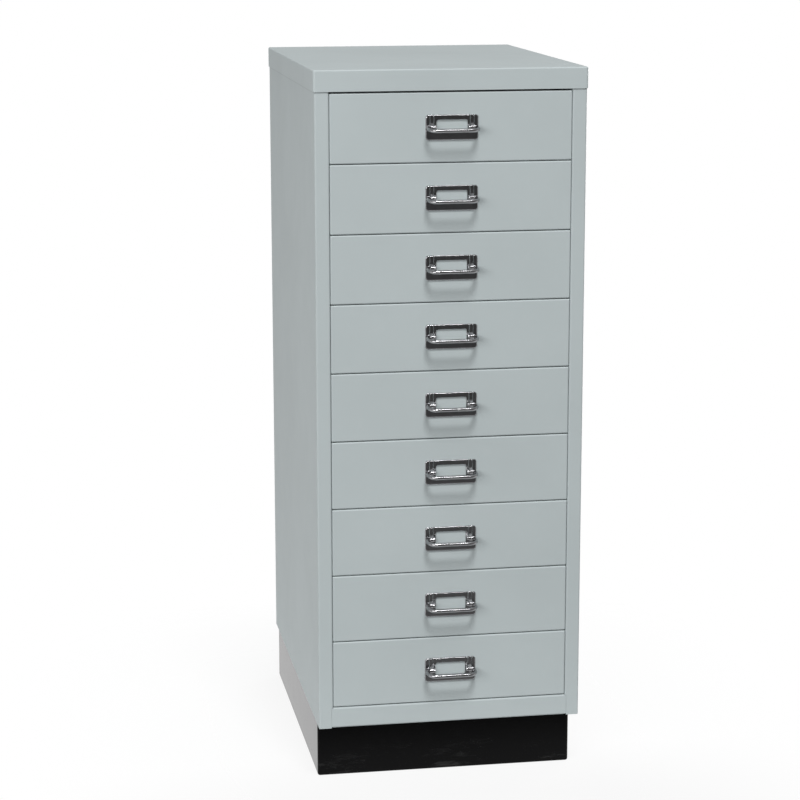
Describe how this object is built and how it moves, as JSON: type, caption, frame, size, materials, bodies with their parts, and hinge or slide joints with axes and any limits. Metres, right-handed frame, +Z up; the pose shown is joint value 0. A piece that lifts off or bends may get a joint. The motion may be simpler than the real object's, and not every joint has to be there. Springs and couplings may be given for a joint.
{
  "type": "multi-drawer cabinet",
  "caption": "Tall narrow steel cabinet with a stack of equal sliding drawers, label frames with wire pulls, a pressed lid and a set-back black plinth.",
  "frame": {"origin": "on the floor, under the middle of the whole cabinet with its pulls", "axes": "+Z up, the drawer fronts face -Y, +X to the right seen from the front"},
  "size_m": [0.281, 0.401, 0.7508],
  "materials": {
    "body_paint": "satin grey powder coat",
    "front_paint": "satin grey powder coat",
    "tray_paint": "satin grey powder coat",
    "inner_paint": "thin satin grey powder coat",
    "black_paint": "black satin powder coat",
    "plating": "bright nickel-chrome plating",
    "zinc": "zinc-plated steel"
  },
  "bodies": {
    "cabinet": {"back_panel": "body_paint", "floor_panel": "body_paint", "left_front_upright": "inner_paint", "left_rear_upright": "inner_paint", "left_side_panel": "body_paint", "lid": "body_paint", "plinth_bolts": "zinc", "plinth_front_rail": "black_paint", "plinth_left_rail": "black_paint", "plinth_rear_rail": "black_paint", "plinth_right_rail": "black_paint", "right_front_upright": "inner_paint", "right_rear_upright": "inner_paint", "right_side_panel": "body_paint", "runner_pair_1": "zinc", "runner_pair_2": "zinc", "runner_pair_3": "zinc", "runner_pair_4": "zinc", "runner_pair_5": "zinc", "runner_pair_6": "zinc", "runner_pair_7": "zinc", "runner_pair_8": "zinc", "runner_pair_9": "zinc", "top_rail": "body_paint"},
    "drawer_1": {"drawer_front_1": "front_paint", "drawer_tray_1": "tray_paint", "label_frame_1": "plating"},
    "pull_1": {"pull_1": "plating"},
    "drawer_2": {"drawer_front_2": "front_paint", "drawer_tray_2": "tray_paint", "label_frame_2": "plating"},
    "pull_2": {"pull_2": "plating"},
    "drawer_3": {"drawer_front_3": "front_paint", "drawer_tray_3": "tray_paint", "label_frame_3": "plating"},
    "pull_3": {"pull_3": "plating"},
    "drawer_4": {"drawer_front_4": "front_paint", "drawer_tray_4": "tray_paint", "label_frame_4": "plating"},
    "pull_4": {"pull_4": "plating"},
    "drawer_5": {"drawer_front_5": "front_paint", "drawer_tray_5": "tray_paint", "label_frame_5": "plating"},
    "pull_5": {"pull_5": "plating"},
    "drawer_6": {"drawer_front_6": "front_paint", "drawer_tray_6": "tray_paint", "label_frame_6": "plating"},
    "pull_6": {"pull_6": "plating"},
    "drawer_7": {"drawer_front_7": "front_paint", "drawer_tray_7": "tray_paint", "label_frame_7": "plating"},
    "pull_7": {"pull_7": "plating"},
    "drawer_8": {"drawer_front_8": "front_paint", "drawer_tray_8": "tray_paint", "label_frame_8": "plating"},
    "pull_8": {"pull_8": "plating"},
    "drawer_9": {"drawer_front_9": "front_paint", "drawer_tray_9": "tray_paint", "label_frame_9": "plating"},
    "pull_9": {"pull_9": "plating"}
  },
  "joints": [
    {"name": "drawer_1_slide", "type": "slide", "parent": "cabinet", "child": "drawer_1", "axis": [0, -1, 0], "range_m": [0, 0.294]},
    {"name": "drawer_2_slide", "type": "slide", "parent": "cabinet", "child": "drawer_2", "axis": [0, -1, 0], "range_m": [0, 0.294]},
    {"name": "drawer_3_slide", "type": "slide", "parent": "cabinet", "child": "drawer_3", "axis": [0, -1, 0], "range_m": [0, 0.294]},
    {"name": "drawer_4_slide", "type": "slide", "parent": "cabinet", "child": "drawer_4", "axis": [0, -1, 0], "range_m": [0, 0.294]},
    {"name": "drawer_5_slide", "type": "slide", "parent": "cabinet", "child": "drawer_5", "axis": [0, -1, 0], "range_m": [0, 0.294]},
    {"name": "drawer_6_slide", "type": "slide", "parent": "cabinet", "child": "drawer_6", "axis": [0, -1, 0], "range_m": [0, 0.294]},
    {"name": "drawer_7_slide", "type": "slide", "parent": "cabinet", "child": "drawer_7", "axis": [0, -1, 0], "range_m": [0, 0.294]},
    {"name": "drawer_8_slide", "type": "slide", "parent": "cabinet", "child": "drawer_8", "axis": [0, -1, 0], "range_m": [0, 0.294]},
    {"name": "drawer_9_slide", "type": "slide", "parent": "cabinet", "child": "drawer_9", "axis": [0, -1, 0], "range_m": [0, 0.294]},
    {"name": "pull_1_swing", "type": "hinge", "parent": "drawer_1", "child": "pull_1", "pos_m": [0, -0.18442, 0.6921], "axis": [-1, 0, 0], "range_deg": [0, 90]},
    {"name": "pull_2_swing", "type": "hinge", "parent": "drawer_2", "child": "pull_2", "pos_m": [0, -0.18442, 0.6209], "axis": [-1, 0, 0], "range_deg": [0, 90]},
    {"name": "pull_3_swing", "type": "hinge", "parent": "drawer_3", "child": "pull_3", "pos_m": [0, -0.18442, 0.5497], "axis": [-1, 0, 0], "range_deg": [0, 90]},
    {"name": "pull_4_swing", "type": "hinge", "parent": "drawer_4", "child": "pull_4", "pos_m": [0, -0.18442, 0.4785], "axis": [-1, 0, 0], "range_deg": [0, 90]},
    {"name": "pull_5_swing", "type": "hinge", "parent": "drawer_5", "child": "pull_5", "pos_m": [0, -0.18442, 0.4073], "axis": [-1, 0, 0], "range_deg": [0, 90]},
    {"name": "pull_6_swing", "type": "hinge", "parent": "drawer_6", "child": "pull_6", "pos_m": [0, -0.18442, 0.3361], "axis": [-1, 0, 0], "range_deg": [0, 90]},
    {"name": "pull_7_swing", "type": "hinge", "parent": "drawer_7", "child": "pull_7", "pos_m": [0, -0.18442, 0.2649], "axis": [-1, 0, 0], "range_deg": [0, 90]},
    {"name": "pull_8_swing", "type": "hinge", "parent": "drawer_8", "child": "pull_8", "pos_m": [0, -0.18442, 0.1937], "axis": [-1, 0, 0], "range_deg": [0, 90]},
    {"name": "pull_9_swing", "type": "hinge", "parent": "drawer_9", "child": "pull_9", "pos_m": [0, -0.18442, 0.1225], "axis": [-1, 0, 0], "range_deg": [0, 90]}
  ]
}
